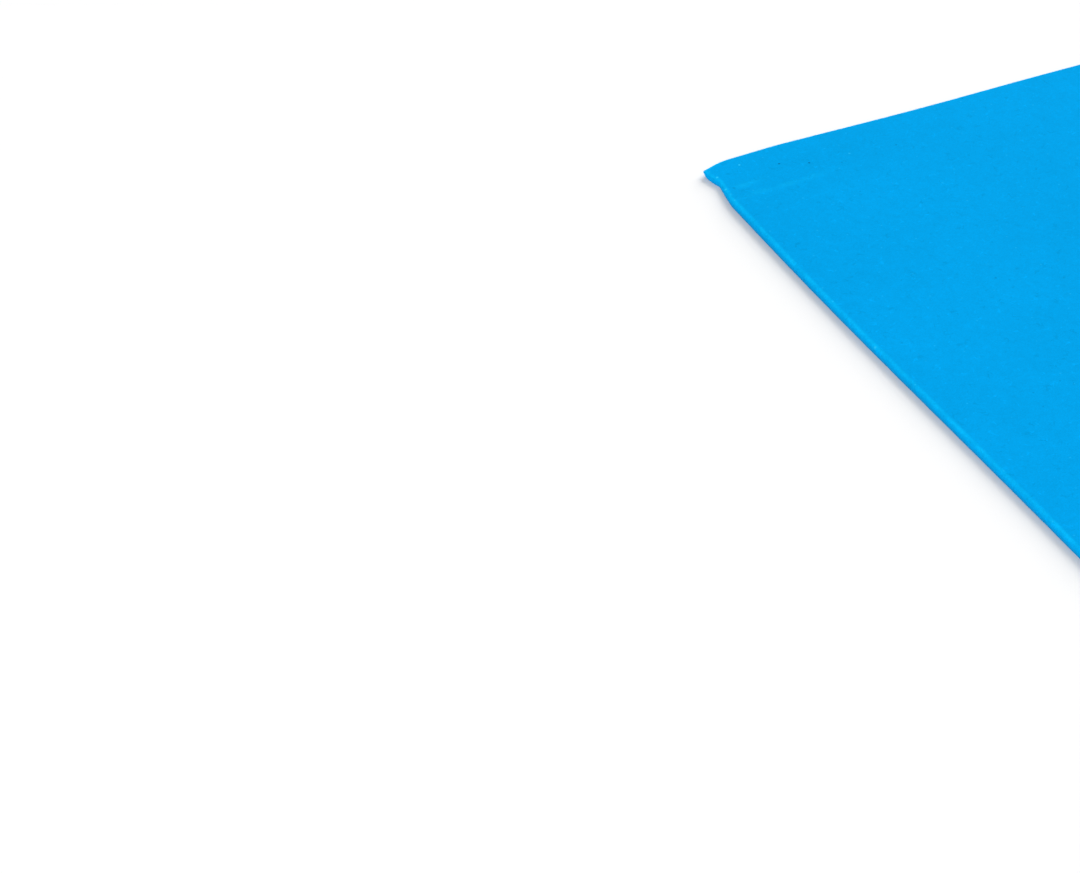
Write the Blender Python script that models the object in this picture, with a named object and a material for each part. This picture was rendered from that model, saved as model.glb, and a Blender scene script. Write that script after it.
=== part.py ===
"""Craft foam sheet: one die-cut sheet of closed-cell EVA foam, lying flat.

Metres, +Z up. The origin is under the middle of the sheet, on the surface that it lies on. X runs along
the long sides, and the corner at -X, -Y is the worn one: pressed thinner, with a nick in its long side.
"""
import math

import bpy

# Sheet
LENGTH = 0.297
WIDTH = 0.210
THICKNESS = 0.0020

# Edges, which the cutting rule presses round on top and leaves nearly sharp below
TOP_ARRIS = 0.0008
BOTTOM_ARRIS = 0.00025
CORNER_RADIUS = 0.0004

# Waves of the cut sides: how deep they dip in, how long they are, and how far a crest is from the worn corner
LONG_WAVE_DEPTH = 0.00028
LONG_WAVE_LENGTH = 0.140
LONG_WAVE_CREST = 0.068
SHORT_WAVE_DEPTH = 0.00045
SHORT_WAVE_LENGTH = 0.071
SHORT_WAVE_CREST = 0.013

# Worn corner: how far each side leans in there, and where along the side the lean runs out
LONG_LEAN_DEPTH = 0.0008
LONG_LEAN_LENGTH = 0.067
SHORT_LEAN_DEPTH = 0.0029
SHORT_LEAN_LENGTH = 0.0078

# Worn corner: how far it is pressed down, and how far from the corner the press runs out
PRESS_DEPTH = 0.00045
PRESS_REACH = 0.018

# Nick in the long side: its deepest place from the corner, its reach to either side, and how both steepen
NICK_DEPTH = 0.00113
NICK_PLACE = 0.00745
NICK_RISE = 0.0064
NICK_FALL = 0.0084
NICK_RISE_POWER = 1.75
NICK_FALL_POWER = 1.25

# Spacing of the outline's points, steps in the worn corner and the rounded parts, rounds to find a corner
PLAIN_STEP = 0.005
WORN_STEPS = 24
CORNER_ROUNDS = 40
MITRE_REACH = 0.0025
CORNER_STEPS = 4
TOP_ARRIS_STEPS = 5
BOTTOM_ARRIS_STEPS = 2

# Foam
FOAM_COLOUR = (0.0011, 0.381, 0.831, 1.0)
FOAM_ROUGHNESS = 0.85
SMOOTH_ANGLE = math.radians(35)


def clear_scene():
    """Removes every object of the open file's scene."""
    for thing in list(bpy.data.objects):
        bpy.data.objects.remove(thing, do_unlink=True)


def wave(distance, depth, length, crest):
    """Dip of a wavy cut side: a cosine from 0 at a crest to depth half a length away."""
    return depth * 0.5 * (1 - math.cos(2 * math.pi * (distance - crest) / length))


def lean(distance, depth, length):
    """Dip of a side that leans in at the worn corner: a parabola that runs out at length."""
    return depth * max(0.0, 1 - distance / length) ** 2


def nick(distance):
    """Dip of the nick: it steepens up to its deepest place, with a kink there, and flattens out again."""
    if distance < NICK_PLACE:
        return NICK_DEPTH * max(0.0, 1 - (NICK_PLACE - distance) / NICK_RISE) ** NICK_RISE_POWER
    return NICK_DEPTH * max(0.0, 1 - (distance - NICK_PLACE) / NICK_FALL) ** NICK_FALL_POWER


def near_side(x):
    """The worn long side's y at x. Both run from the outer rectangle's worn corner."""
    waves = wave(x, LONG_WAVE_DEPTH, LONG_WAVE_LENGTH, LONG_WAVE_CREST)
    return TOP_ARRIS + waves + lean(x, LONG_LEAN_DEPTH, LONG_LEAN_LENGTH) + nick(x)


def far_side(x):
    """The other long side's y at x."""
    return WIDTH - TOP_ARRIS - wave(x, LONG_WAVE_DEPTH, LONG_WAVE_LENGTH, LONG_WAVE_CREST)


def left_side(y):
    """The worn short side's x at y."""
    waves = wave(y, SHORT_WAVE_DEPTH, SHORT_WAVE_LENGTH, SHORT_WAVE_CREST)
    return TOP_ARRIS + waves + lean(y, SHORT_LEAN_DEPTH, SHORT_LEAN_LENGTH)


def right_side(y):
    """The other short side's x at y."""
    return LENGTH - TOP_ARRIS - wave(y, SHORT_WAVE_DEPTH, SHORT_WAVE_LENGTH, SHORT_WAVE_CREST)


def meeting(x_side, y_side, x, y):
    """Where a short and a long side meet, closing in on it from (x, y)."""
    for _ in range(CORNER_ROUNDS):
        x = x_side(y)
        y = y_side(x)
    return x, y


def split(start, end, count):
    """Places from start to end in count even steps."""
    return [start + (end - start) * i / count for i in range(count + 1)]


def spaced(start, end, step):
    """Places from start to end, evenly, no further apart than step."""
    return split(start, end, max(1, math.ceil(abs(end - start) / step)))


def bend(before, corner, after):
    """A rounded corner from before up to but not at after: the parabola whose sides point at corner."""
    points = []
    for i in range(2 * CORNER_STEPS):
        t = i / (2 * CORNER_STEPS)
        weights = ((1 - t) ** 2, 2 * t * (1 - t), t * t)
        points.append(tuple(sum(w * p[k] for w, p in zip(weights, (before, corner, after))) for k in (0, 1)))
    return points


def worn_corner():
    """Where the two worn sides would meet, were their corner not rounded."""
    return meeting(left_side, near_side, 0, 0)


def face_outline():
    """The flat top face's outline, counter-clockwise from the middle of the worn corner's bend.

    It comes with the index of the middle of each corner's bend.
    """
    worn = worn_corner()
    right = meeting(right_side, near_side, LENGTH, 0)
    back = meeting(right_side, far_side, LENGTH, WIDTH)
    left = meeting(left_side, far_side, 0, WIDTH)
    r = CORNER_RADIUS
    near_x = split(worn[0] + r, worn[0] + PRESS_REACH, WORN_STEPS)[:-1]
    near_x += spaced(worn[0] + PRESS_REACH, right[0] - r, PLAIN_STEP)
    right_y = spaced(right[1] + r, back[1] - r, PLAIN_STEP)
    far_x = spaced(back[0] - r, left[0] + r, PLAIN_STEP)
    left_y = spaced(left[1] - r, worn[1] + PRESS_REACH, PLAIN_STEP)[:-1]
    left_y += split(worn[1] + PRESS_REACH, worn[1] + r, WORN_STEPS)
    sides = [
        [(x, near_side(x)) for x in near_x],
        [(right_side(y), y) for y in right_y],
        [(x, far_side(x)) for x in far_x],
        [(left_side(y), y) for y in left_y],
    ]

    outline = []
    middles = []
    for i, corner in enumerate((right, back, left, worn)):
        outline += sides[i][:-1]
        middles.append(len(outline) + CORNER_STEPS)
        outline += bend(sides[i][-1], corner, sides[(i + 1) % 4][0])
    start = middles[-1]
    return outline[start:] + outline[:start], [(middle - start) % len(outline) for middle in middles]


def mitre(before, after):
    """The step that moves the two straight edges with these outward normals out by one unit."""
    share = 1 + before[0] * after[0] + before[1] * after[1]
    return ((before[0] + after[0]) / share, (before[1] + after[1]) / share)


def outward(outline, middles):
    """For each point the outward step that moves its edges out by one unit.

    Close to a corner it turns into the corner's own step, so that the corner keeps its radius further out.
    """
    count = len(outline)
    normals = []
    for (ax, ay), (bx, by) in zip(outline, outline[1:] + outline[:1]):
        run = math.hypot(bx - ax, by - ay)
        normals.append(((by - ay) / run, (ax - bx) / run))
    steps = [mitre(normals[i - 1], normals[i]) for i in range(count)]
    for middle in middles:
        corner = mitre(normals[middle - CORNER_STEPS - 1], normals[(middle + CORNER_STEPS) % count])
        for i, point in enumerate(outline):
            past = (math.dist(point, outline[middle]) - CORNER_RADIUS) / MITRE_REACH
            share = 1 - min(1.0, max(0.0, past))
            share = share * share * (3 - 2 * share)
            steps[i] = tuple(a + (b - a) * share for a, b in zip(steps[i], corner))
    return steps


def press(x, y):
    """How far the worn corner is pressed down at a place: most at the corner, running out smoothly."""
    share = min(1.0, math.dist((x, y), worn_corner()) / PRESS_REACH)
    return PRESS_DEPTH * (1 - share * share) ** 2


def edge_section():
    """The cut edge from the top face down: how far out of the face outline, and the height there."""
    section = []
    for i in range(TOP_ARRIS_STEPS + 1):
        angle = math.pi / 2 * i / TOP_ARRIS_STEPS
        section.append((TOP_ARRIS * math.sin(angle), THICKNESS - TOP_ARRIS * (1 - math.cos(angle))))
    for i in range(BOTTOM_ARRIS_STEPS + 1):
        angle = math.pi / 2 * i / BOTTOM_ARRIS_STEPS
        out = TOP_ARRIS - BOTTOM_ARRIS * (1 - math.cos(angle))
        section.append((out, BOTTOM_ARRIS * (1 - math.sin(angle))))
    return section


def foam_material():
    """Matte blue foam."""
    material = bpy.data.materials.new("foam_blue")
    material.use_nodes = True
    shader = material.node_tree.nodes["Principled BSDF"]
    shader.inputs["Base Color"].default_value = FOAM_COLOUR
    shader.inputs["Roughness"].default_value = FOAM_ROUGHNESS
    shader.inputs["Metallic"].default_value = 0.0
    return material


def foam_sheet():
    """The sheet: its section carried round the outline, closed by the top face and the underside."""
    outline, middles = face_outline()
    steps = outward(outline, middles)
    section = edge_section()
    count = len(outline)
    points = []
    for out, height in section:
        for (x, y), (dx, dy) in zip(outline, steps):
            lowered = press(x, y) * height / THICKNESS
            points.append((x + out * dx, y + out * dy, height - lowered))
    faces = []
    for ring in range(len(section) - 1):
        for i in range(count):
            j = (i + 1) % count
            upper = ring * count
            lower = upper + count
            faces.append((upper + i, lower + i, lower + j, upper + j))
    faces.append(tuple(reversed(range(len(points) - count, len(points)))))

    # The pressed corner is a patch of its own in the flat top face, and its rows follow the two worn sides
    last = CORNER_STEPS + WORN_STEPS
    patch = {}
    for i in range(last + 1):
        for j in range(last + 1):
            if i == 0 or j == 0:
                patch[i, j] = (i - j) % count
                continue
            x, y = (outline[i][k] + outline[-j][k] - outline[0][k] for k in (0, 1))
            patch[i, j] = len(points)
            points.append((x, y, THICKNESS - press(x, y)))
    for i in range(last):
        for j in range(last):
            faces.append((patch[i, j], patch[i + 1, j], patch[i + 1, j + 1], patch[i, j + 1]))
    inner = [patch[i, last] for i in range(1, last + 1)] + [patch[last, j] for j in range(last - 1, 0, -1)]
    faces.append(tuple(range(last, count - last + 1)) + tuple(inner))

    mesh = bpy.data.meshes.new("foam_sheet")
    mesh.from_pydata([(x - LENGTH / 2, y - WIDTH / 2, z) for x, y, z in points], [], faces)
    mesh.shade_smooth()
    mesh.set_sharp_from_angle(angle=SMOOTH_ANGLE)
    mesh.materials.append(foam_material())
    sheet = bpy.data.objects.new("foam_sheet", mesh)
    bpy.context.scene.collection.objects.link(sheet)
    return sheet


clear_scene()
foam_sheet()
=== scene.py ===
"""Looks of the craft foam sheet: its fine surface, the foam's finish, a pale floor, soft light and camera.

The sheet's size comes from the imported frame. Lengths are in metres, and places on the sheet are counted from
the worn corner of the rectangle round it, x along the long side and y along the short one.
"""
import math

import bmesh
import bpy
import numpy as np
from mathutils import Matrix, Vector


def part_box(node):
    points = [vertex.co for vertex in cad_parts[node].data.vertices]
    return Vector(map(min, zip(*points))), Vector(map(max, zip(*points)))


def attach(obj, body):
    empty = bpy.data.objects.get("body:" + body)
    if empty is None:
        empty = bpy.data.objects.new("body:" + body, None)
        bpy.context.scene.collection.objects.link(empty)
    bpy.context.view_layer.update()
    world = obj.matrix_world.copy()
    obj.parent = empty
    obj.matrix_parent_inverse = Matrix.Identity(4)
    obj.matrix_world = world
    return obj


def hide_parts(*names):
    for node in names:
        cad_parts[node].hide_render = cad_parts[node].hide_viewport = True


NODE = "foam_sheet"

# Photograph
PHOTO_WIDTH = 1080
SENSOR_WIDTH = 36.0
FOCAL_PIXELS = 3432
# The camera's place from the worn corner, where it looks along the floor, and how far it tips and rolls
CAMERA_FROM_CORNER = Vector((0.53729, -0.25029, 0.3395))
CAMERA_HEADING = Vector((-0.9289, 0.3704, 0.0))
CAMERA_PITCH = math.radians(34.06)
CAMERA_ROLL = math.radians(-3.45)

# Waves, leans and nick of the cut sides, as the solid has them
LONG_WAVE = {"depth": 0.00028, "length": 0.140, "crest": 0.068}
SHORT_WAVE = {"depth": 0.00045, "length": 0.071, "crest": 0.013}
LONG_LEAN = {"depth": 0.0008, "length": 0.067}
SHORT_LEAN = {"depth": 0.0029, "length": 0.0078}
NICK_DEPTH = 0.00113
NICK_PLACE = 0.00745
NICK_RISE = 0.0064
NICK_FALL = 0.0084
NICK_RISE_POWER = 1.75
NICK_FALL_POWER = 1.25
CORNER_RADIUS = 0.0004
MITRE_REACH = 0.0025
CORNER_ROUNDS = 40

# Section of the cut edge: the rolled upper arris, the face below it and the lower arris
ARRIS_REACH = 0.0010
ARRIS_DROP = 0.0008
UNDERCUT = 0.00007
LOWER_ARRIS = 0.0003
# Ripples along the cut edge: half their depth, and each wave's share, length and turn
CHATTER = 0.000025
CHATTER_WAVES = ((0.45, 0.0113, 0.0), (0.35, 0.0047, 1.9), (0.20, 0.0029, 0.4))
# The painted highlight line on the arris lies nearer the top face, the lower this power is
HIGHLIGHT_LEAN = 0.8
# The top face rolls down towards its edges
ROLL_DEPTH = 0.00005
ROLL_REACH = 0.0014
# Worn corner: pressed thinner, with a sharper arris, and a foot that draws in under it
PRESS_DEPTH = 0.00045
PRESS_REACH = 0.018
CORNER_SHARPNESS = 0.6
CORNER_UNDERCUT = 0.00025
CORNER_REACH = 0.0012
# The painted shade at the foot fades at the worn corner: by how much, and how far from it
CORNER_PALE_SHARE = 0.7
CORNER_PALE_REACH = 0.006
# Slow waves of the top face: their depth, and each one's share, lengths along x and y, and turn
SWELL_DEPTH = 0.00005
SWELL_WAVES = (
    (0.34, 0.091, 0.230, 0.6),
    (0.28, -0.310, 0.074, 2.1),
    (0.22, 0.047, -0.066, 4.0),
    (0.16, 0.160, 0.035, 1.3),
)
# Creases across the worn corner: from where to where, how deep, and how wide
CREASES = (
    {"start": (0.0157, -0.0005), "end": (0.0146, 0.0250), "depth": 0.00010, "width": 0.0008},
    {"start": (0.0153, 0.0005), "end": (0.0156, 0.0105), "depth": 0.00006, "width": 0.0005},
    {"start": (0.0150, 0.0120), "end": (0.0151, 0.0225), "depth": 0.00005, "width": 0.0005},
    {"start": (0.0121, 0.0024), "end": (0.0106, 0.0115), "depth": 0.00008, "width": 0.0009},
)
# How a crease swings to its sides: each wave's share of the width, reach and turn. How far its ends fade
CREASE_SWINGS = ((0.45, 0.0031, 0.0), (0.20, 0.0013, 1.0))
CREASE_FADE_IN = 0.003
CREASE_FADE_OUT = 0.006

# Spacing of the mesh: at the corners, over the worn corner, and in the plain rest
CORNER_STEP = 0.00012
WORN_STEP = 0.0005
PLAIN_STEP = 0.0020
STEP_GROWTH = 0.05
WORN_SPAN = {"long": 0.030, "short": 0.045}
# How finely a side is followed before its points are set, and the steps of a rounded corner
FINE_PLACES = 40001
OUTLINE_STEP = 0.00005
BEND_POINTS = 24
# Rings of each part, from the arris down and in, and how many times as long each step below is as the last
ARRIS_RINGS = 8
FACE_RINGS = 7
LOWER_RINGS = 3
UNDER_RINGS = 6
UNDER_GROWTH = 2.2
WELD_DISTANCE = 1e-7
# Shares that the mesh hands to the material: a painted highlight line on the arris, the cut face, painted
# shade towards the foot, and the creases
MARKS = ("arris", "cut", "foot", "crease")

# Foam colours, linear
BLUE = (0.0003, 0.366, 0.785, 1.0)
BLUE_CUT = (0.0008, 0.345, 0.745, 1.0)
# Painted shade: the cut face darkens to this towards its foot
BLUE_FOOT_SHADE = (0.0050, 0.250, 0.550, 1.0)
# Painted highlight: the line along the arris is lightened to this
BLUE_ARRIS_HIGHLIGHT = (0.0025, 0.520, 0.960, 1.0)
BLUE_PIT = (0.0004, 0.120, 0.310, 1.0)
# Light specks of dust, and painted glints of highlight along the arris
BLUE_DUST_AND_GLINT = (0.0300, 0.620, 0.980, 1.0)
BLUE_CREASE = (0.0020, 0.430, 0.840, 1.0)

# Finish: cells and patches per metre, and how much each pattern lightens or darkens the foam
SKIN_CELLS = 3200.0
CUT_CELLS = 2300.0
MOTTLE_PATCHES = 34.0
WEAR_AND_HIGHLIGHT_PATCHES = 260.0
TONES = {"mottle": 0.07, "skin": 0.085, "light_scuffs": 0.13, "dark_scuffs": -0.11, "cut_cells": 0.05}
LIGHT_SCUFFS = {"Lines_per_metre": 620.0, "Thickness": 0.16}
DARK_SCUFFS = {"Lines_per_metre": 540.0, "Thickness": 0.16}
# Painted glints of highlight along the arris: cells per metre, share and radius
SPARKLE = {"Cells_per_metre": 420.0, "Share": 0.4, "Radius": 0.00032}
PITS = {"Cells_per_metre": 95.0, "Share": 0.3, "Radius": 0.00024}
DUST = {"Cells_per_metre": 260.0, "Share": 0.35, "Radius": 0.0002}
PIT_STRENGTH = 0.45
DUST_STRENGTH = 0.3
# Patches of the painted arris highlight and of the creases' wear: from which to which noise, and the tint's
# strength at both
ARRIS_HIGHLIGHT_PATCHES = (-0.6, 0.6, 0.45, 1.0)
CREASE_WEAR = (-0.45, 0.75, 0.08, 0.85)
# Cells: where a wall rises, the pebbling's and pores' scale by the cells', where a pore begins and is open
CELL_WALL = (0.1, 0.75)
PEBBLE_SCALE = 0.38
PORE_SCALE = 0.6
PORE_PEAK = (0.5, 0.95)
# The shares of wall, pebbling and pores in the height
CELL_SHARES = (0.45, 0.6, -0.8)
# Mottle: scales by the patches', how lines are drawn out along x, and the shares of its three noises
MOTTLE_TIGHT_SCALE = 9.0
MOTTLE_LINE_SCALE = 16.0
MOTTLE_LINE_STRETCH = (0.06, 1.0, 1.0)
MOTTLE_SHARES = (0.5, 0.45, 0.15)
# Specks: the share of the radius where one begins to fade, and how strewn ones vary in size and strength
SPECK_SOFT = 0.3
STREWN_SIZES = (0.5, 1.3)
STREWN_STRENGTHS = (0.4, 1.0)
# Scuffs: their patches' scale by the lines', and the noise where a patch begins and is full
SCUFF_PATCH_SCALE = 0.8
SCUFF_PATCH = (0.25, 0.6)
# What a noise texture's spread about 0.5 is multiplied by, to reach from about -1 to 1
NOISE_SPREAD = 3.0
# Detail and roughness of the finer noises, and detail of the coarse ones
FINE_NOISE = (3.0, 0.6)
COARSE_DETAIL = 1.0
# A second pattern of a kind is mirrored, so that it doesn't lie over the first
MIRRORED_X = (-1.0, 1.0, 1.0)
MIRRORED_Y = (1.0, -1.0, 1.0)
# Gloss, and relief in units of its height
ROUGHNESS = 0.82
SKIN_ROUGHNESS = 0.06
DIFFUSE_ROUGHNESS = 0.6
SHEEN_LEVEL = 0.006
SHEEN_TINT = (0.0, 0.40, 0.95, 1.0)
RELIEF = {"skin": 1.0, "cut_cells": 1.5, "light_scuffs": 2.5, "dark_scuffs": -2.5, "pits": -6.0}
RELIEF_HEIGHT = 0.000008

# Specks on the top face: place, radius, colour and strength
SPECKS = (
    (0.0076, 0.0152, 0.00034, BLUE_PIT, 0.9),
    (0.0102, 0.0205, 0.00034, BLUE_PIT, 0.9),
    (0.0115, 0.0033, 0.00045, BLUE_PIT, 0.25),
    (0.1018, 0.0175, 0.00030, BLUE_PIT, 0.3),
    (0.0669, 0.0329, 0.00030, BLUE_PIT, 0.3),
    (0.0766, 0.0050, 0.00030, BLUE_PIT, 0.3),
    (0.1007, 0.0236, 0.00030, BLUE_PIT, 0.3),
    (0.0038, 0.0083, 0.00032, BLUE_DUST_AND_GLINT, 0.9),
    (0.0059, 0.0024, 0.00036, BLUE_DUST_AND_GLINT, 0.9),
    (0.0084, 0.0017, 0.00036, BLUE_DUST_AND_GLINT, 0.6),
    (0.0154, 0.0007, 0.00030, BLUE_DUST_AND_GLINT, 0.9),
    (0.0107, 0.0292, 0.00036, BLUE_DUST_AND_GLINT, 0.4),
)

# Floor and light; a softbox has a name, a place, a size and a power
FLOOR_HALF = 4.0
FLOOR_WHITE = (0.885, 0.885, 0.885, 1.0)
FLOOR_ROUGHNESS = 0.9
WORLD_WHITE = (1, 1, 1, 1)
WORLD_STRENGTH = 0.375
SOFTBOXES = (
    ("softbox_behind", (-1.45, 2.40, 1.60), 2.8, 140.0),
    ("softbox_near", (0.90, -1.50, 0.95), 1.2, 22.4),
)

# Kinds of socket of the node groups, and the sockets of a Mix node that mixes colours
VECTOR = "NodeSocketVector"
FLOAT = "NodeSocketFloat"
MIX_A = 6
MIX_B = 7
MIX_RESULT = 2


def wave(distance, depth, length, crest):
    """Dip of a wavy cut side: a cosine from 0 at a crest to depth half a length away."""
    return depth * 0.5 * (1 - np.cos(2 * np.pi * (distance - crest) / length))


def lean(distance, depth, length):
    """Dip of a side that leans in at the worn corner: a parabola that runs out at length."""
    return depth * np.clip(1 - distance / length, 0, None) ** 2


def nick(distance):
    """Dip of the nick: a power that steepens up to its deepest place, and another that flattens out again."""
    before = np.clip(1 - (NICK_PLACE - distance) / NICK_RISE, 0, 1) ** NICK_RISE_POWER
    after = np.clip(1 - (distance - NICK_PLACE) / NICK_FALL, 0, 1) ** NICK_FALL_POWER
    return NICK_DEPTH * np.where(distance < NICK_PLACE, before, after)


def near_side(x):
    """The worn long side's y at x, for the edge of the top face."""
    return ARRIS_REACH + wave(x, **LONG_WAVE) + lean(x, **LONG_LEAN) + nick(x)


def far_side(x):
    """The other long side's y at x."""
    return WIDTH - ARRIS_REACH - wave(x, **LONG_WAVE)


def left_side(y):
    """The worn short side's x at y."""
    return ARRIS_REACH + wave(y, **SHORT_WAVE) + lean(y, **SHORT_LEAN)


def right_side(y):
    """The other short side's x at y."""
    return LENGTH - ARRIS_REACH - wave(y, **SHORT_WAVE)


def meeting(x_side, y_side, x, y):
    """Where a short and a long side meet: each gives the other its place, over and over."""
    for _ in range(CORNER_ROUNDS):
        x = float(x_side(y))
        y = float(y_side(x))
    return np.array((x, y))


def bend(before, corner, after):
    """The parabola from before to after whose ends point at corner, as a rounded corner."""
    t = np.linspace(0, 1, BEND_POINTS + 1)[:, None]
    return (1 - t) ** 2 * before + 2 * t * (1 - t) * corner + t ** 2 * after


def graded(span, worn_span):
    """Shares from 0 to 1 along a side: fine at its ends, medium over the worn span, plain beyond it.

    Steps grow in proportion to the distance from each finer stretch, and a point is set each time that the
    sum of distance over step size has gone up by one.
    """
    places = np.linspace(0, span, FINE_PLACES)
    worn = WORN_STEP + STEP_GROWTH * np.clip(places - worn_span, 0, None)
    first = CORNER_STEP + 2 * STEP_GROWTH * places
    last = CORNER_STEP + STEP_GROWTH * (span - places)
    steps = np.minimum.reduce([worn, first, last, np.full_like(places, PLAIN_STEP)])
    passed = np.concatenate([[0], np.cumsum(0.5 * (1 / steps[1:] + 1 / steps[:-1]) * np.diff(places))])
    return np.interp(np.linspace(0, passed[-1], math.ceil(passed[-1]) + 1), passed, places) / span


def resampled(points, shares):
    """Points at the given shares of a polyline's length."""
    run = np.concatenate([[0], np.cumsum(np.linalg.norm(np.diff(points, axis=0), axis=1))])
    return np.stack([np.interp(shares * run[-1], run, points[:, k]) for k in (0, 1)], axis=1)


def face_sides(long_shares, short_shares):
    """The near, right, far and left edge of the top face, each run with x or y, from mid-bend to mid-bend."""
    near_left = meeting(left_side, near_side, 0.0, 0.0)
    near_right = meeting(right_side, near_side, LENGTH, 0.0)
    far_right = meeting(right_side, far_side, LENGTH, WIDTH)
    far_left = meeting(left_side, far_side, 0.0, WIDTH)

    def run(side, along, start, end):
        """Even points on one side, from the end of one corner's bend to the start of the next."""
        places = np.arange(start[along] + CORNER_RADIUS, end[along] - CORNER_RADIUS, OUTLINE_STEP)
        pair = (places, side(places)) if along == 0 else (side(places), places)
        return np.stack(pair, axis=1)

    near = run(near_side, 0, near_left, near_right)
    right = run(right_side, 1, near_right, far_right)
    far = run(far_side, 0, far_left, far_right)
    left = run(left_side, 1, near_left, far_left)
    half = BEND_POINTS // 2
    bend_nl = bend(left[0], near_left, near[0])
    bend_nr = bend(near[-1], near_right, right[0])
    bend_fr = bend(far[-1], far_right, right[-1])
    bend_fl = bend(left[-1], far_left, far[0])
    return (
        resampled(np.concatenate([bend_nl[half:-1], near, bend_nr[1:half + 1]]), long_shares),
        resampled(np.concatenate([bend_nr[half:-1], right, bend_fr[::-1][1:half + 1]]), short_shares),
        resampled(np.concatenate([bend_fl[half:-1], far, bend_fr[1:half + 1]]), long_shares),
        resampled(np.concatenate([bend_nl[::-1][half:-1], left, bend_fl[1:half + 1]]), short_shares),
    )


def filled(near, right, far, left, u, v):
    """The grid between four edges: the sum of both ruled surfaces less the one between the four corners."""
    u = u[:, None, None]
    v = v[None, :, None]
    across = (1 - v) * near[:, None] + v * far[:, None]
    along = (1 - u) * left[None] + u * right[None]
    corners = (1 - u) * (1 - v) * near[0] + u * (1 - v) * near[-1] + (1 - u) * v * far[0] + u * v * far[-1]
    return across + along - corners


def mitre(before, after):
    """The step that moves the two straight edges with these outward normals out by one unit."""
    return (before + after) / (1 + (before * after).sum(axis=-1, keepdims=True))


def outward(loop, middles):
    """For each point of a closed loop the step that moves its edges out by one unit.

    Close to a bend's middle it turns into the corner's own step, with a smooth share of the distance past the
    bend, so that the corner keeps its radius further out.
    """
    edge = np.roll(loop, -1, axis=0) - loop
    edge /= np.linalg.norm(edge, axis=1, keepdims=True)
    normal = np.stack([edge[:, 1], -edge[:, 0]], axis=1)
    steps = mitre(np.roll(normal, 1, axis=0), normal)
    half = len(loop) // 2
    for middle in middles:
        away = np.linalg.norm(loop - loop[middle], axis=1)
        beyond = np.where(away > CORNER_RADIUS)[0] - middle
        beyond = (beyond + half) % len(loop) - half
        before = normal[middle + beyond[beyond < 0].max() - 1]
        after = normal[(middle + beyond[beyond > 0].min()) % len(loop)]
        corner = mitre(before, after)
        share = 1 - np.clip((away - CORNER_RADIUS) / MITRE_REACH, 0, 1)
        share = (share * share * (3 - 2 * share))[:, None]
        steps = steps + (corner - steps) * share
    return steps


def crease(x, y, start, end, depth, width):
    """A shallow furrow: a bell across the line from start to end, which fades evenly at both ends.

    The line swings to its sides by a sum of sine waves.
    """
    start = np.array(start)
    line = np.array(end) - start
    length = np.linalg.norm(line)
    line /= length
    along = (x - start[0]) * line[0] + (y - start[1]) * line[1]
    swing = sum(width * share * np.sin(along / reach + turn) for share, reach, turn in CREASE_SWINGS)
    across = (x - start[0]) * line[1] - (y - start[1]) * line[0] + swing
    fade = np.clip(along / CREASE_FADE_IN, 0, 1) * np.clip((length - along) / CREASE_FADE_OUT, 0, 1)
    return depth * fade * np.exp(-((across / width) ** 2))


def press(x, y):
    """How far the worn corner is pressed down: a smooth bell, most at the corner and 0 at its reach."""
    share = np.minimum(1, np.hypot(x - WORN[0], y - WORN[1]) / PRESS_REACH)
    return PRESS_DEPTH * (1 - share * share) ** 2


def swell(x, y):
    """Slow dips of the top face: a sum of sine waves at odd angles, from 0 to SWELL_DEPTH."""
    waves = sum(
        share * np.sin(2 * np.pi * (x / x_length + y / y_length) + turn)
        for share, x_length, y_length, turn in SWELL_WAVES
    )
    return SWELL_DEPTH * 0.5 * (1 - waves)


def roll(x, y):
    """The top face's fall towards its edges: an exponential of the distance to each side, added up."""
    gaps = (y - near_side(x), far_side(x) - y, x - left_side(y), right_side(y) - x)
    return ROLL_DEPTH * sum(np.exp(-np.clip(gap, 0, None) / ROLL_REACH) for gap in gaps)


def top_height(x, y):
    """Height of the top face: the thickness less all its dips."""
    dips = press(x, y) + swell(x, y) + roll(x, y)
    for furrow in CREASES:
        dips = dips + crease(x, y, **furrow)
    return THICKNESS - dips


def chatter(run):
    """How far the cut face steps in along the outline: a sum of short sine waves, from 0 to twice CHATTER."""
    waves = sum(share * np.sin(2 * np.pi * run / length + turn) for share, length, turn in CHATTER_WAVES)
    return CHATTER * (1 - waves)


def quarter_turn(count):
    """Angles of a quarter turn in count even steps, without the first one at 0."""
    return np.linspace(0, np.pi / 2, count + 1)[1:]


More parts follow.
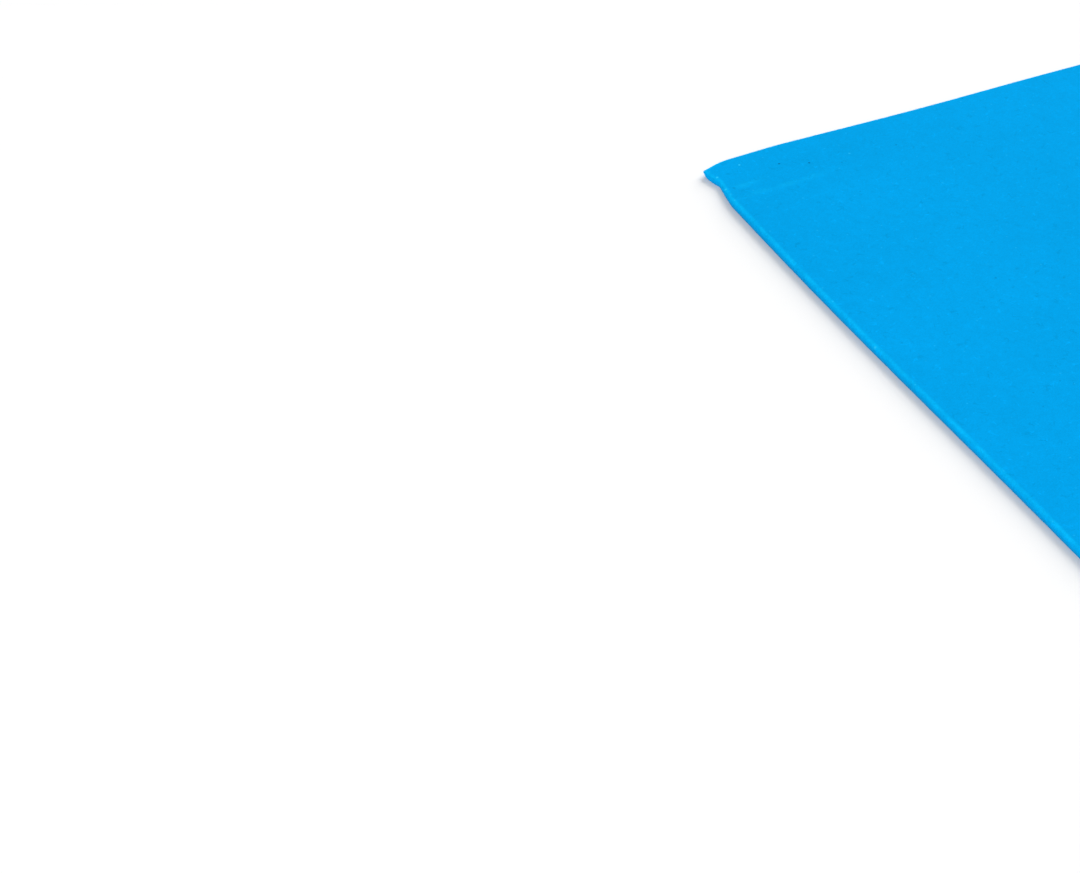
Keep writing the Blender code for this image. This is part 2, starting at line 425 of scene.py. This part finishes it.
def rim_rings(loop, height, middles):
    """The cut edge below the top face's edge: rings of points, and their shares of painted highlight, cut face
    and painted shade.

    Each point moves out along its outward step. The arris is a quarter ellipse, the face below it draws in
    with the square of its depth, and the lower arris is a quarter circle. A bell of the distance to the worn
    corner makes the arris shallower there, and draws the face in further. A wider bell fades the painted shade
    at the foot.
    """
    step = outward(loop, middles)
    run = np.concatenate([[0], np.cumsum(np.linalg.norm(np.diff(loop, axis=0), axis=1))])
    reach = ARRIS_REACH - chatter(run)
    away = np.linalg.norm(loop - WORN, axis=1)
    closeness = np.exp(-((away / CORNER_REACH) ** 2))
    shoulder = height - ARRIS_DROP * (1 - CORNER_SHARPNESS * closeness) * height / THICKNESS
    corner_cut = CORNER_UNDERCUT * closeness
    rings = []
    marks = []
    for angle in quarter_turn(ARRIS_RINGS):
        rings.append((reach * math.sin(angle), height - (height - shoulder) * (1 - math.cos(angle))))
        # The first share is a painted highlight line along the arris
        line = math.sin(math.pi * (2 * angle / math.pi) ** HIGHLIGHT_LEAN) ** 2
        marks.append((line, (1 - math.cos(angle)) ** 2, 0))
    for share in np.linspace(0, 1, FACE_RINGS + 1)[1:]:
        out = reach - UNDERCUT * share ** 2 - corner_cut * share
        rings.append((out, shoulder + (LOWER_ARRIS - shoulder) * share))
        # The third share is painted shade, growing down the cut face to its foot
        marks.append((0, 1, share))
    for angle in quarter_turn(LOWER_RINGS):
        out = reach - UNDERCUT - corner_cut - LOWER_ARRIS * (1 - math.cos(angle))
        rings.append((out, np.full_like(out, LOWER_ARRIS * (1 - math.sin(angle)))))
        marks.append((0, math.cos(angle), math.cos(angle)))
    even = np.ones_like(away)
    # The painted shade at the foot fades near the worn corner
    pale = 1 - CORNER_PALE_SHARE * np.exp(-((away / CORNER_PALE_REACH) ** 2))
    points = [np.column_stack([loop + out[:, None] * step, z]) for out, z in rings]
    return points, np.array(marks)[:, None, :] * np.stack([even, even, pale], axis=1)


def strips(rows):
    """Quads between neighbouring closed rows of vertex numbers."""
    beside = np.roll(rows, -1, axis=1)
    return np.stack([rows[:-1], rows[1:], beside[1:], beside[:-1]], axis=-1).reshape(-1, 4)


def sheet_surface():
    """The sheet's points, faces and marks: a filled grid on top, rings down the cut edge, and rings below.

    The rings below close in from the foot on a line along the sheet's middle, each step a fixed number of
    times as long as the one before.
    """
    u = graded(LENGTH, WORN_SPAN["long"])
    v = graded(WIDTH, WORN_SPAN["short"])
    flat = filled(*face_sides(u, v), u, v)
    top = np.concatenate([flat, top_height(flat[..., 0], flat[..., 1])[..., None]], axis=-1).reshape(-1, 3)
    number = np.arange(len(top)).reshape(len(u), len(v))
    corners = [number[:-1, :-1], number[1:, :-1], number[1:, 1:], number[:-1, 1:]]
    quads = np.stack(corners, axis=-1).reshape(-1, 4)

    edge = np.concatenate([number[:-1, 0], number[-1, :-1], number[:0:-1, -1], number[0, :0:-1]])
    middles = (0, len(u) - 1, len(u) + len(v) - 2, 2 * len(u) + len(v) - 3)
    rim, rim_marks = rim_rings(top[edge, :2], top[edge, 2], middles)
    foot = rim[-1]
    spread = np.concatenate([u[:-1], np.ones(len(v) - 1), u[:0:-1], np.zeros(len(v) - 1)])[:, None]
    spine = np.array(((WIDTH / 2, WIDTH / 2, 0), (LENGTH - WIDTH / 2, WIDTH / 2, 0)))
    target = spine[0] + (spine[1] - spine[0]) * spread
    shares = (UNDER_GROWTH ** np.arange(1, UNDER_RINGS + 1) - 1) / (UNDER_GROWTH ** UNDER_RINGS - 1)
    under = [foot + (target - foot) * share for share in shares]

    rings = np.array(rim + under)
    rows = len(top) + np.arange(rings.shape[0] * rings.shape[1]).reshape(rings.shape[:2])
    points = np.concatenate([top, rings.reshape(-1, 3)]) - (LENGTH / 2, WIDTH / 2, 0)
    faces = np.concatenate([quads, strips(np.concatenate([edge[None], rows]))])
    marks = np.zeros((len(points), len(MARKS)))
    marks[rows[:len(rim)].ravel(), :3] = rim_marks.reshape(-1, 3)
    x, y = flat.reshape(-1, 2).T
    furrows = sum(crease(x, y, **furrow) / furrow["depth"] for furrow in CREASES)
    marks[:len(top), MARKS.index("crease")] = furrows
    return points, faces, marks


def sheet_piece():
    """The sheet as one smooth closed mesh that carries its marks, with coincident points welded."""
    points, faces, marks = sheet_surface()
    mesh = bpy.data.meshes.new("foam_sheet_surface")
    mesh.from_pydata(points.tolist(), [], faces.tolist())
    for column, name in enumerate(MARKS):
        layer = mesh.attributes.new(name, "FLOAT", "POINT")
        layer.data.foreach_set("value", marks[:, column].copy())
    seam = bmesh.new()
    seam.from_mesh(mesh)
    bmesh.ops.remove_doubles(seam, verts=seam.verts, dist=WELD_DISTANCE)
    bmesh.ops.recalc_face_normals(seam, faces=seam.faces)
    seam.to_mesh(mesh)
    seam.free()
    mesh.shade_smooth()
    piece = bpy.data.objects.new("foam_sheet_surface", mesh)
    bpy.context.scene.collection.objects.link(piece)
    return piece


def new_group(name, inputs, outputs):
    """An empty shader node group; inputs and outputs give the kind of each socket by its name."""
    group = bpy.data.node_groups.new(name, "ShaderNodeTree")
    for side, sockets in (("INPUT", inputs), ("OUTPUT", outputs)):
        for label, kind in sockets.items():
            group.interface.new_socket(label, in_out=side, socket_type=kind)
    return group, group.nodes.new("NodeGroupInput"), group.nodes.new("NodeGroupOutput")


def fed(tree, socket, value):
    """Sets an input to a number, colour or vector, or links a socket to it."""
    if isinstance(value, bpy.types.NodeSocket):
        tree.links.new(value, socket)
    else:
        socket.default_value = value


def reckoned(tree, operation, a, b=0.0):
    """A Math node of two numbers or sockets. Gives its output socket."""
    node = tree.nodes.new("ShaderNodeMath")
    node.operation = operation
    fed(tree, node.inputs[0], a)
    fed(tree, node.inputs[1], b)
    return node.outputs[0]


def times(tree, a, b):
    """The product of two numbers or sockets."""
    return reckoned(tree, "MULTIPLY", a, b)


def summed(tree, *terms):
    """The sum of sockets, each times its own strength; a term is (socket, strength)."""
    total = times(tree, *terms[0])
    for term in terms[1:]:
        total = reckoned(tree, "ADD", total, times(tree, *term))
    return total


def ramped(tree, value, low, high, to_low=0.0, to_high=1.0):
    """A smooth, clamped Map Range from (low, high) to (to_low, to_high). Gives its output socket."""
    node = tree.nodes.new("ShaderNodeMapRange")
    node.interpolation_type = "SMOOTHSTEP"
    for label, number in (("Value", value), ("From Min", low), ("From Max", high), ("To Min", to_low),
                          ("To Max", to_high)):
        fed(tree, node.inputs[label], number)
    return node.outputs["Result"]


def noise(tree, vector, scale, detail=2.0, roughness=0.5):
    """A solid noise, centred on 0 and about -1 to 1. Gives its output socket."""
    node = tree.nodes.new("ShaderNodeTexNoise")
    for label, number in (("Vector", vector), ("Scale", scale), ("Detail", detail), ("Roughness", roughness)):
        fed(tree, node.inputs[label], number)
    return times(tree, reckoned(tree, "SUBTRACT", node.outputs["Fac"], 0.5), NOISE_SPREAD)


def stretched(tree, vector, scale):
    """The vector with each axis scaled."""
    node = tree.nodes.new("ShaderNodeMapping")
    node.inputs["Scale"].default_value = scale
    tree.links.new(vector, node.inputs["Vector"])
    return node.outputs["Vector"]


def foam_cells_group():
    """Closed cells: a height of about -1 to 1.

    It is a share of the rise from each cell's middle to its walls, plus a slower noise for the pebbling, less
    the pores, which are the peaks of another noise.
    """
    inputs = {"Vector": VECTOR, "Cells per metre": FLOAT}
    group, given, made = new_group("foam_cells", inputs, {"Height": FLOAT})
    vector = given.outputs["Vector"]
    scale = given.outputs["Cells per metre"]
    cells = group.nodes.new("ShaderNodeTexVoronoi")
    fed(group, cells.inputs["Vector"], vector)
    fed(group, cells.inputs["Scale"], scale)
    wall = ramped(group, cells.outputs["Distance"], *CELL_WALL, -1.0, 1.0)
    pebble = noise(group, vector, times(group, scale, PEBBLE_SCALE), *FINE_NOISE)
    pore = ramped(group, noise(group, vector, times(group, scale, PORE_SCALE), COARSE_DETAIL), *PORE_PEAK)
    group.links.new(summed(group, *zip((wall, pebble, pore), CELL_SHARES)), made.inputs["Height"])
    return group


def mottle_group():
    """Uneven dye and skin: a tone of about -1 to 1, summed of a slow noise, a tighter one and faint lines."""
    inputs = {"Vector": VECTOR, "Patches per metre": FLOAT}
    group, given, made = new_group("foam_mottle", inputs, {"Tone": FLOAT})
    vector = given.outputs["Vector"]
    scale = given.outputs["Patches per metre"]
    wide = noise(group, vector, scale)
    tight = noise(group, vector, times(group, scale, MOTTLE_TIGHT_SCALE), *FINE_NOISE)
    drawn = stretched(group, vector, MOTTLE_LINE_STRETCH)
    lines = noise(group, drawn, times(group, scale, MOTTLE_LINE_SCALE))
    group.links.new(summed(group, *zip((wide, tight, lines), MOTTLE_SHARES)), made.inputs["Tone"])
    return group


def speck_group():
    """A soft round speck at a place: 1 in its middle, 0 from its radius out."""
    inputs = {"Vector": VECTOR, "Place": VECTOR, "Radius": FLOAT}
    group, given, made = new_group("foam_speck", inputs, {"Mask": FLOAT})
    away = group.nodes.new("ShaderNodeVectorMath")
    away.operation = "DISTANCE"
    group.links.new(given.outputs["Vector"], away.inputs[0])
    group.links.new(given.outputs["Place"], away.inputs[1])
    share = reckoned(group, "DIVIDE", away.outputs["Value"], given.outputs["Radius"])
    group.links.new(ramped(group, share, SPECK_SOFT, 1.0, 1.0, 0.0), made.inputs["Mask"])
    return group


def strewn_group():
    """Specks strewn over the face: a flat cell pattern, where a random value tells which cells hold one."""
    inputs = {"Vector": VECTOR, "Cells per metre": FLOAT, "Share": FLOAT, "Radius": FLOAT}
    group, given, made = new_group("foam_strewn_specks", inputs, {"Mask": FLOAT})
    cells = group.nodes.new("ShaderNodeTexVoronoi")
    cells.voronoi_dimensions = "2D"
    fed(group, cells.inputs["Vector"], given.outputs["Vector"])
    fed(group, cells.inputs["Scale"], given.outputs["Cells per metre"])
    parts = group.nodes.new("ShaderNodeSeparateColor")
    group.links.new(cells.outputs["Color"], parts.inputs["Color"])
    chosen = reckoned(group, "LESS_THAN", parts.outputs["Red"], given.outputs["Share"])
    size = ramped(group, parts.outputs["Green"], 0.0, 1.0, *STREWN_SIZES)
    away = reckoned(group, "DIVIDE", cells.outputs["Distance"], given.outputs["Cells per metre"])
    share = reckoned(group, "DIVIDE", away, times(group, given.outputs["Radius"], size))
    spot = ramped(group, share, SPECK_SOFT, 1.0, 1.0, 0.0)
    strength = ramped(group, parts.outputs["Blue"], 0.0, 1.0, *STREWN_STRENGTHS)
    group.links.new(times(group, times(group, spot, chosen), strength), made.inputs["Mask"])
    return group


def scuff_group():
    """Fine curly scuffs: thin lines where a noise crosses its middle, kept only in scattered patches."""
    inputs = {"Vector": VECTOR, "Lines per metre": FLOAT, "Thickness": FLOAT}
    group, given, made = new_group("foam_scuffs", inputs, {"Mask": FLOAT})
    vector = given.outputs["Vector"]
    scale = given.outputs["Lines per metre"]
    swirl = noise(group, vector, scale, COARSE_DETAIL)
    line = ramped(group, reckoned(group, "ABSOLUTE", swirl), 0.0, given.outputs["Thickness"], 1.0, 0.0)
    patchy = noise(group, vector, times(group, scale, SCUFF_PATCH_SCALE), COARSE_DETAIL)
    patches = ramped(group, patchy, *SCUFF_PATCH)
    group.links.new(times(group, line, patches), made.inputs["Mask"])
    return group


def placed(tree, group, vector, **values):
    """A group node in a material's tree, fed with the vector and its own values. Gives its output socket."""
    node = tree.nodes.new("ShaderNodeGroup")
    node.node_tree = group
    tree.links.new(vector, node.inputs["Vector"])
    for label, value in values.items():
        fed(tree, node.inputs[label.replace("_", " ")], value)
    return node.outputs[0]


def marked(tree, name):
    """The mesh's mark of that name, as a mask."""
    node = tree.nodes.new("ShaderNodeAttribute")
    node.attribute_name = name
    return node.outputs["Fac"]


def toned(tree, colour, tone, strength):
    """A colour made lighter or darker by strength times a tone of about -1 to 1."""
    factor = reckoned(tree, "ADD", times(tree, tone, strength), 1.0)
    node = tree.nodes.new("ShaderNodeVectorMath")
    node.operation = "SCALE"
    tree.links.new(colour, node.inputs[0])
    tree.links.new(factor, node.inputs["Scale"])
    return node.outputs["Vector"]


def mixed(tree, mask, a, b):
    """Colour a where the mask is 0 and b where it is 1; a and b are colours or sockets."""
    node = tree.nodes.new("ShaderNodeMix")
    node.data_type = "RGBA"
    tree.links.new(mask, node.inputs["Factor"])
    fed(tree, node.inputs[MIX_A], a)
    fed(tree, node.inputs[MIX_B], b)
    return node.outputs[MIX_RESULT]


def foam_patterns(tree, vector):
    """Every pattern of the foam by its name: the mesh's marks, and masks and tones from the node groups."""
    found = {name: marked(tree, name) for name in MARKS}
    cells = foam_cells_group()
    found["skin"] = placed(tree, cells, vector, Cells_per_metre=SKIN_CELLS)
    open_cells = placed(tree, cells, vector, Cells_per_metre=CUT_CELLS)
    found["cut_cells"] = times(tree, open_cells, found["cut"])
    found["mottle"] = placed(tree, mottle_group(), vector, Patches_per_metre=MOTTLE_PATCHES)
    scuff = scuff_group()
    found["light_scuffs"] = placed(tree, scuff, vector, **LIGHT_SCUFFS)
    found["dark_scuffs"] = placed(tree, scuff, stretched(tree, vector, MIRRORED_X), **DARK_SCUFFS)
    wear_and_highlight = noise(tree, vector, WEAR_AND_HIGHLIGHT_PATCHES, *FINE_NOISE)
    # Painted highlight along the arris, broken into patches by the same noise as the creases' wear
    found["arris_highlight"] = times(tree, found["arris"], ramped(tree, wear_and_highlight, *ARRIS_HIGHLIGHT_PATCHES))
    found["rubbed_crease"] = times(tree, found["crease"], ramped(tree, wear_and_highlight, *CREASE_WEAR))
    strewn = strewn_group()
    # Painted glints of highlight, strewn only over the arris
    found["glint"] = times(tree, placed(tree, strewn, vector, **SPARKLE), found["arris"])
    found["pits"] = placed(tree, strewn, vector, **PITS)
    found["dust"] = placed(tree, strewn, stretched(tree, vector, MIRRORED_Y), **DUST)
    return found


def foam_colour(tree, vector, found):
    """The foam's colour: blues mixed by the marks, with painted shade at the foot and a painted highlight on
    the arris, lightened and darkened by the tones, then painted glints on the arris and the specks.
    """
    colour = BLUE
    for name, blue in (("cut", BLUE_CUT), ("foot", BLUE_FOOT_SHADE), ("arris_highlight", BLUE_ARRIS_HIGHLIGHT),
                       ("rubbed_crease", BLUE_CREASE)):
        colour = mixed(tree, found[name], colour, blue)
    for name, strength in TONES.items():
        colour = toned(tree, colour, found[name], strength)
    colour = mixed(tree, found["glint"], colour, BLUE_DUST_AND_GLINT)
    colour = mixed(tree, times(tree, found["pits"], PIT_STRENGTH), colour, BLUE_PIT)
    colour = mixed(tree, times(tree, found["dust"], DUST_STRENGTH), colour, BLUE_DUST_AND_GLINT)
    speck = speck_group()
    for x, y, radius, blue, strength in SPECKS:
        place = (x - LENGTH / 2, y - WIDTH / 2, float(top_height(x, y)))
        spot = placed(tree, speck, vector, Place=place, Radius=radius)
        colour = mixed(tree, times(tree, spot, strength), colour, blue)
    return colour


def foam_material():
    """The foam: fine cells and mottling on the skin, open cells on the cut face, a painted highlight on the
    arris and painted shade at the foot of the cut face.
    """
    material = bpy.data.materials.new("foam_blue_matte")
    material.use_nodes = True
    tree = material.node_tree
    shader = tree.nodes["Principled BSDF"]
    vector = tree.nodes.new("ShaderNodeTexCoord").outputs["Object"]
    found = foam_patterns(tree, vector)
    tree.links.new(foam_colour(tree, vector, found), shader.inputs["Base Color"])
    rough = reckoned(tree, "ADD", times(tree, found["skin"], SKIN_ROUGHNESS), ROUGHNESS)
    tree.links.new(rough, shader.inputs["Roughness"])
    shader.inputs["Specular IOR Level"].default_value = SHEEN_LEVEL
    shader.inputs["Specular Tint"].default_value = SHEEN_TINT
    shader.inputs["Diffuse Roughness"].default_value = DIFFUSE_ROUGHNESS

    relief = summed(tree, *((found[name], strength) for name, strength in RELIEF.items()))
    bump = tree.nodes.new("ShaderNodeBump")
    bump.inputs["Strength"].default_value = 1.0
    bump.inputs["Distance"].default_value = RELIEF_HEIGHT
    tree.links.new(relief, bump.inputs["Height"])
    tree.links.new(bump.outputs["Normal"], shader.inputs["Normal"])
    return material


def floor():
    """A plain pale floor, level with the sheet's underside."""
    half = FLOOR_HALF
    corners = [(-half, -half, 0), (half, -half, 0), (half, half, 0), (-half, half, 0)]
    mesh = bpy.data.meshes.new("floor")
    mesh.from_pydata(corners, [], [(0, 1, 2, 3)])
    material = bpy.data.materials.new("floor_white")
    material.use_nodes = True
    shader = material.node_tree.nodes["Principled BSDF"]
    shader.inputs["Base Color"].default_value = FLOOR_WHITE
    shader.inputs["Roughness"].default_value = FLOOR_ROUGHNESS
    shader.inputs["Specular IOR Level"].default_value = 0.0
    mesh.materials.append(material)
    plane = bpy.data.objects.new("floor", mesh)
    bpy.context.scene.collection.objects.link(plane)


def softbox(name, place, size, watts):
    """A square area light at place, facing the middle of the sheet."""
    data = bpy.data.lights.new(name, "AREA")
    data.size = size
    data.energy = watts
    lamp = bpy.data.objects.new(name, data)
    lamp.location = place
    lamp.rotation_euler = (-Vector(place)).to_track_quat("-Z", "Y").to_euler()
    lamp.visible_camera = False
    bpy.context.scene.collection.objects.link(lamp)


def studio():
    """Even light from all round, a large low softbox behind the sheet, and a smaller one in front of it."""
    world = bpy.data.worlds.new("studio")
    world.use_nodes = True
    background = world.node_tree.nodes["Background"]
    background.inputs["Color"].default_value = WORLD_WHITE
    background.inputs["Strength"].default_value = WORLD_STRENGTH
    bpy.context.scene.world = world
    for name, place, size, watts in SOFTBOXES:
        softbox(name, place, size, watts)
    bpy.context.scene.view_settings.view_transform = "Standard"


def camera():
    """The photograph's camera, set out from the worn corner."""
    data = bpy.data.cameras.new("camera")
    data.sensor_width = SENSOR_WIDTH
    data.lens = FOCAL_PIXELS / PHOTO_WIDTH * SENSOR_WIDTH
    level = CAMERA_HEADING.normalized()
    ahead = level * math.cos(CAMERA_PITCH) - Vector((0, 0, math.sin(CAMERA_PITCH)))
    up = level * math.sin(CAMERA_PITCH) + Vector((0, 0, math.cos(CAMERA_PITCH)))
    right = ahead.cross(up)
    rolled_right = right * math.cos(CAMERA_ROLL) + up * math.sin(CAMERA_ROLL)
    rolled_up = up * math.cos(CAMERA_ROLL) - right * math.sin(CAMERA_ROLL)
    place = Vector((-LENGTH / 2, -WIDTH / 2, 0)) + CAMERA_FROM_CORNER
    turn = Matrix((rolled_right, rolled_up, -ahead)).transposed().to_4x4()
    eye = bpy.data.objects.new("camera", data)
    eye.matrix_world = Matrix.Translation(place) @ turn
    bpy.context.scene.collection.objects.link(eye)
    bpy.context.scene.camera = eye


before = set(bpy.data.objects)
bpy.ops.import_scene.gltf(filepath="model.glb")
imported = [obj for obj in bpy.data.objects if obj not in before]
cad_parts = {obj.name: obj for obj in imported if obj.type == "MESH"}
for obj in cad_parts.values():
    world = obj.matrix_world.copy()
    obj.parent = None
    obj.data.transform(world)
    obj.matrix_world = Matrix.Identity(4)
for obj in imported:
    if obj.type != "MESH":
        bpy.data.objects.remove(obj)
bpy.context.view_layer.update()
low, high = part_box(NODE)
LENGTH, WIDTH, THICKNESS = high - low
WORN = meeting(left_side, near_side, 0.0, 0.0)

camera()
sheet = sheet_piece()
sheet.data.materials.append(foam_material())
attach(sheet, "root")
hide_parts(NODE)
floor()
studio()
